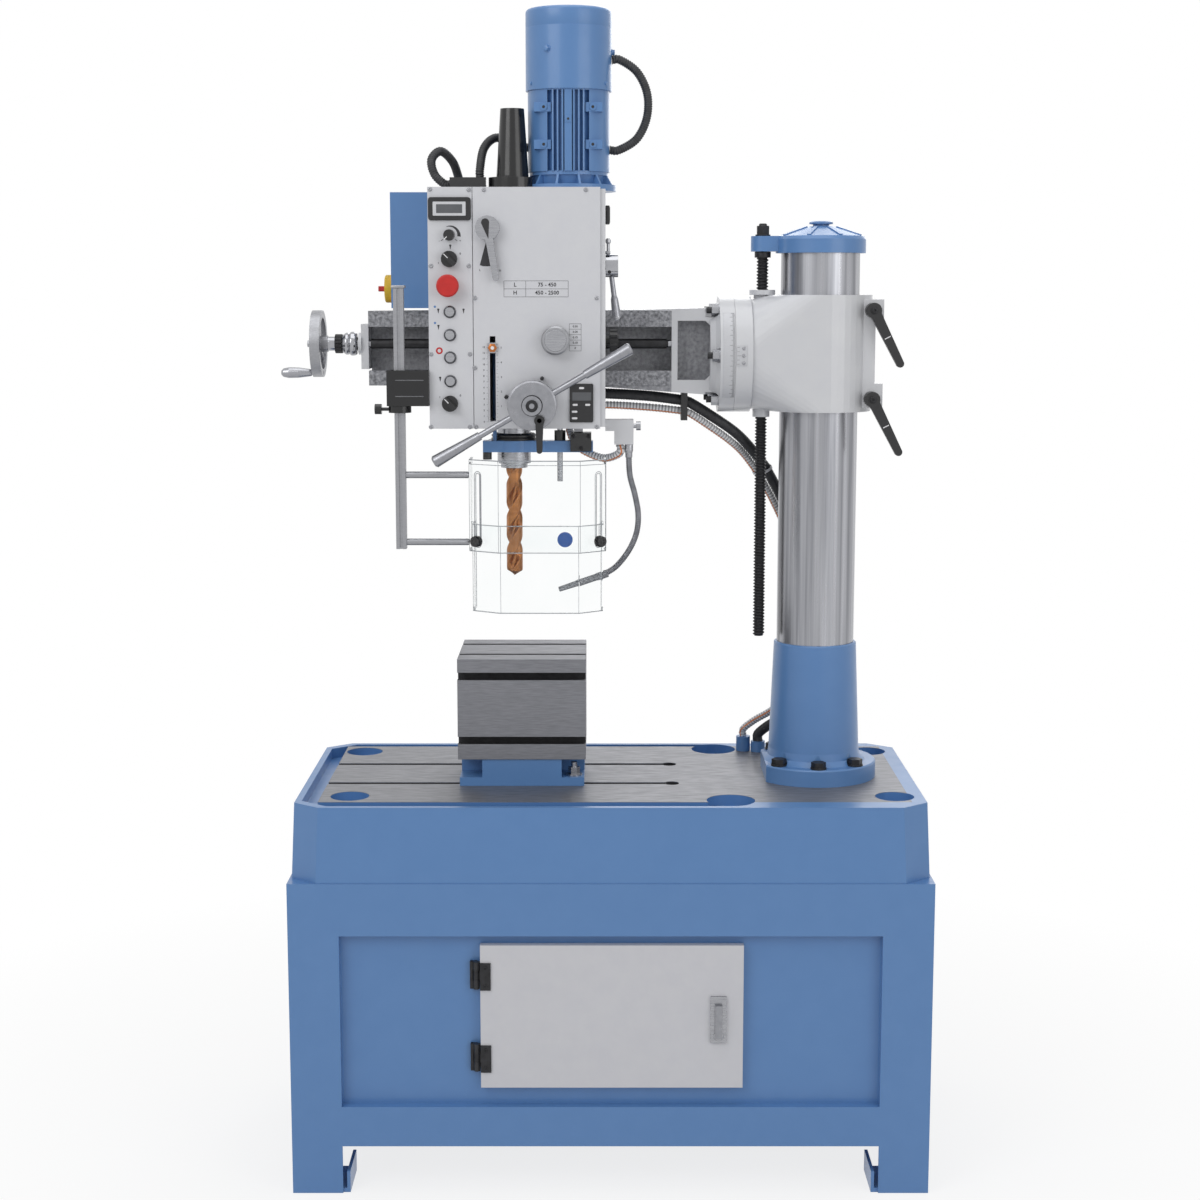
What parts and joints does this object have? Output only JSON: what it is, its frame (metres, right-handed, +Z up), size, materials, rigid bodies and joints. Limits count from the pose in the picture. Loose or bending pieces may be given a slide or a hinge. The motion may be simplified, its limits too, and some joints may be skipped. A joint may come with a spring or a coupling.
{
  "type": "radial arm drill",
  "caption": "Radial arm drilling machine on a sheet stand: column, lifting and tilting arm, traversing geared head with feed levers, chip guard, coolant line and box table.",
  "frame": {"origin": "on the floor, under the middle of the stand's four anchor holes", "axes": "+X to the operator's right, toward the column; +Y away from the operator; +Z up along the column"},
  "size_m": [1.189, 0.5883, 2.127],
  "materials": {
    "blue_paint": "semi-gloss blue enamel",
    "grey_paint": "glossy light grey enamel",
    "ground_steel": "ground and polished",
    "bright_steel": "turned, bright",
    "machined_iron": "machined cast iron",
    "dark_iron": "dark hammered cast iron",
    "black_steel": "blackened steel",
    "alu": "satin aluminium",
    "chrome": "polished chrome",
    "black_plastic": "moulded black plastic",
    "grey_plastic": "moulded grey tank",
    "red_plastic": "red plastic",
    "clear_sheet": "clear polycarbonate",
    "bronze_hss": "bronze-oxide tool steel",
    "hose": "flexible conduit and ribbed hose"
  },
  "bodies": {
    "stand": {"cabinet": "blue_paint", "base_plate": "blue_paint", "column_foot": "blue_paint", "hex_bolts": "black_steel", "column": "ground_steel", "box_table": "machined_iron", "coolant_pump": "grey_plastic", "hose_tail": "hose"},
    "door": {"door": "grey_paint"},
    "latch": {"latch_handle": "bright_steel"},
    "cap": {"column_cap": "blue_paint", "hose_drop": "hose"},
    "lift_screw": {"lift_screw": "black_steel"},
    "collar": {"collar": "grey_paint", "hose_bend": "hose"},
    "upper_clamp": {"upper_clamp_lever": "black_steel"},
    "lower_clamp": {"lower_clamp_lever": "black_steel"},
    "arm": {"arm": "dark_iron", "arm_bolts": "bright_steel", "end_bracket": "grey_paint", "hose_reach": "hose"},
    "traverse": {"traverse_screw": "bright_steel", "handwheel": "alu"},
    "crank": {"crank_handle": "bright_steel"},
    "head": {"head_housing": "grey_paint", "front_panel": "grey_paint", "electrical_box": "blue_paint", "motor_housing": "blue_paint", "motor_cowl": "blue_paint", "spindle_cap": "black_plastic", "conduits": "hose", "coolant_bracket": "black_plastic", "coolant_line": "hose", "guard_bracket": "black_plastic"},
    "rotor": {"motor_rotor": "bright_steel"},
    "gear": {"spindle_gear": "bright_steel"},
    "quill": {"quill": "ground_steel", "depth_bracket": "blue_paint"},
    "spindle": {"spindle": "bright_steel", "twist_drill": "bronze_hss"},
    "feed": {"feed_hub": "bright_steel"},
    "clutch": {"clutch_lever": "black_plastic"},
    "gear_shift": {"gear_lever": "black_plastic"},
    "feed_select": {"feed_knob": "alu"},
    "side_lever": {"side_lever": "chrome"},
    "star_knob": {"star_knob": "black_plastic"},
    "stop_button": {"emergency_stop": "red_plastic"},
    "button_a": {"push_button_a": "bright_steel"},
    "button_b": {"push_button_b": "bright_steel"},
    "button_c": {"push_button_c": "bright_steel"},
    "button_d": {"push_button_d": "bright_steel"},
    "speed_knob": {"speed_knob": "black_plastic"},
    "upper_selector": {"upper_selector": "black_plastic"},
    "lower_selector": {"lower_selector": "black_plastic"},
    "main_switch": {"main_switch": "red_plastic"},
    "coolant_tap": {"coolant_tap": "chrome"},
    "turret": {"guard_turret": "black_plastic"},
    "guard": {"guard_post": "alu", "upper_shield": "clear_sheet"},
    "lower_shield": {"lower_shield": "clear_sheet"}
  },
  "joints": [
    {"name": "door_swing", "type": "hinge", "parent": "stand", "child": "door", "pos_m": [-0.243, -0.269, 0.335], "axis": [0, 0, -1], "range_deg": [0, 110]},
    {"name": "latch_turn", "type": "hinge", "parent": "door", "child": "latch", "pos_m": [0.195, -0.277, 0.353], "axis": [0, -1, 0], "range_deg": [0, 90]},
    {"name": "arm_swivel", "type": "hinge", "parent": "stand", "child": "cap", "pos_m": [0.388, 0, 1.705], "axis": [0, 0, 1], "range_deg": [-90, 90], "deforming": ["hose_tail"]},
    {"name": "arm_lift", "type": "slide", "parent": "cap", "child": "collar", "axis": [0, 0, 1], "range_m": [-0.09, 0.05], "deforming": ["hose_drop"]},
    {"name": "lift_screw_turn", "type": "hinge", "parent": "cap", "child": "lift_screw", "pos_m": [0.281, 0, 1.5], "axis": [0, 0, 1], "range_deg": [-5500, 3100]},
    {"name": "upper_clamp_turn", "type": "hinge", "parent": "collar", "child": "upper_clamp", "pos_m": [0.478, -0.062, 1.601], "axis": [0, -1, 0], "range_deg": [-20, 70]},
    {"name": "lower_clamp_turn", "type": "hinge", "parent": "collar", "child": "lower_clamp", "pos_m": [0.478, -0.062, 1.44], "axis": [0, -1, 0], "range_deg": [-20, 70]},
    {"name": "arm_tilt", "type": "hinge", "parent": "collar", "child": "arm", "pos_m": [0.227, 0, 1.52], "axis": [1, 0, 0], "range_deg": [-45, 45], "deforming": ["hose_bend"]},
    {"name": "head_traverse", "type": "slide", "parent": "arm", "child": "head", "axis": [1, 0, 0], "range_m": [-0.09, 0.11], "deforming": ["hose_reach"]},
    {"name": "traverse_turn", "type": "hinge", "parent": "arm", "child": "traverse", "pos_m": [-0.54, -0.036, 1.54], "axis": [1, 0, 0], "range_deg": [-3400, 4100]},
    {"name": "crank_spin", "type": "hinge", "parent": "traverse", "child": "crank", "pos_m": [-0.551, -0.036, 1.487], "axis": [1, 0, 0], "continuous": true},
    {"name": "quill_feed", "type": "slide", "parent": "head", "child": "quill", "axis": [0, 0, -1], "range_m": [0, 0.12], "stiffness_N_per_m": 400, "springref_m": -0.45},
    {"name": "spindle_spin", "type": "hinge", "parent": "quill", "child": "spindle", "pos_m": [-0.174, -0.15, 1.33], "axis": [0, 0, 1], "continuous": true},
    {"name": "gear_spin", "type": "hinge", "parent": "head", "child": "gear", "pos_m": [-0.174, -0.15, 1.75], "axis": [0, 0, 1], "continuous": true},
    {"name": "motor_spin", "type": "hinge", "parent": "head", "child": "rotor", "pos_m": [-0.075, -0.11814, 1.75], "axis": [0, 0, 1], "continuous": true},
    {"name": "feed_turn", "type": "hinge", "parent": "head", "child": "feed", "pos_m": [-0.13698, -0.24, 1.44], "axis": [0, -1, 0], "range_deg": [-5, 660]},
    {"name": "clutch_turn", "type": "hinge", "parent": "feed", "child": "clutch", "pos_m": [-0.12398, -0.294, 1.415], "axis": [0, -1, 0], "range_deg": [-25, 25]},
    {"name": "gear_shift_turn", "type": "hinge", "parent": "head", "child": "gear_shift", "pos_m": [-0.214, -0.24, 1.744], "axis": [0, -1, 0], "range_deg": [-30, 0]},
    {"name": "feed_select_turn", "type": "hinge", "parent": "head", "child": "feed_select", "pos_m": [-0.097, -0.24, 1.551], "axis": [0, -1, 0], "range_deg": [-60, 60]},
    {"name": "side_lever_turn", "type": "hinge", "parent": "head", "child": "side_lever", "pos_m": [-0.01, -0.19, 1.68], "axis": [1, 0, 0], "range_deg": [-45, 45]},
    {"name": "star_knob_turn", "type": "hinge", "parent": "head", "child": "star_knob", "pos_m": [-0.01, -0.088, 1.547], "axis": [1, 0, 0], "range_deg": [-180, 180]},
    {"name": "stop_press", "type": "slide", "parent": "head", "child": "stop_button", "axis": [0, 1, 0], "range_m": [0, 0.006]},
    {"name": "button_a_press", "type": "slide", "parent": "head", "child": "button_a", "axis": [0, 1, 0], "range_m": [0, 0.004], "stiffness_N_per_m": 600, "springref_m": -0.001},
    {"name": "button_b_press", "type": "slide", "parent": "head", "child": "button_b", "axis": [0, 1, 0], "range_m": [0, 0.004], "stiffness_N_per_m": 600, "springref_m": -0.001},
    {"name": "button_c_press", "type": "slide", "parent": "head", "child": "button_c", "axis": [0, 1, 0], "range_m": [0, 0.004], "stiffness_N_per_m": 600, "springref_m": -0.001},
    {"name": "button_d_press", "type": "slide", "parent": "head", "child": "button_d", "axis": [0, 1, 0], "range_m": [0, 0.004], "stiffness_N_per_m": 600, "springref_m": -0.001},
    {"name": "speed_knob_turn", "type": "hinge", "parent": "head", "child": "speed_knob", "pos_m": [-0.281, -0.24, 1.732], "axis": [0, -1, 0], "range_deg": [-135, 135]},
    {"name": "upper_selector_turn", "type": "hinge", "parent": "head", "child": "upper_selector", "pos_m": [-0.281, -0.24, 1.691], "axis": [0, -1, 0], "range_deg": [-90, 0]},
    {"name": "lower_selector_turn", "type": "hinge", "parent": "head", "child": "lower_selector", "pos_m": [-0.282, -0.24, 1.441], "axis": [0, -1, 0], "range_deg": [-90, 0]},
    {"name": "main_switch_turn", "type": "hinge", "parent": "head", "child": "main_switch", "pos_m": [-0.404, 0.005, 1.64], "axis": [1, 0, 0], "range_deg": [0, 90]},
    {"name": "coolant_tap_turn", "type": "hinge", "parent": "head", "child": "coolant_tap", "pos_m": [0.04, -0.18, 1.398], "axis": [1, 0, 0], "range_deg": [0, 180]},
    {"name": "guard_swing", "type": "hinge", "parent": "head", "child": "turret", "pos_m": [-0.371, -0.23, 1.43], "axis": [0, 0, 1], "range_deg": [-100, 0]},
    {"name": "guard_height", "type": "slide", "parent": "turret", "child": "guard", "axis": [0, 0, 1], "range_m": [-0.06, 0.045]},
    {"name": "lower_shield_slide", "type": "slide", "parent": "guard", "child": "lower_shield", "axis": [0, 0, 1], "range_m": [0, 0.1]}
  ],
  "couplings": [
    {"joint": "lift_screw_turn", "follows": "arm_lift", "rad_per_m": 1047.2},
    {"joint": "traverse_turn", "follows": "head_traverse", "rad_per_m": 628.32},
    {"joint": "feed_turn", "follows": "quill_feed", "rad_per_m": 94.118},
    {"joint": "gear_spin", "follows": "spindle_spin", "ratio": 1},
    {"joint": "motor_spin", "follows": "spindle_spin", "ratio": -2.0588}
  ]
}
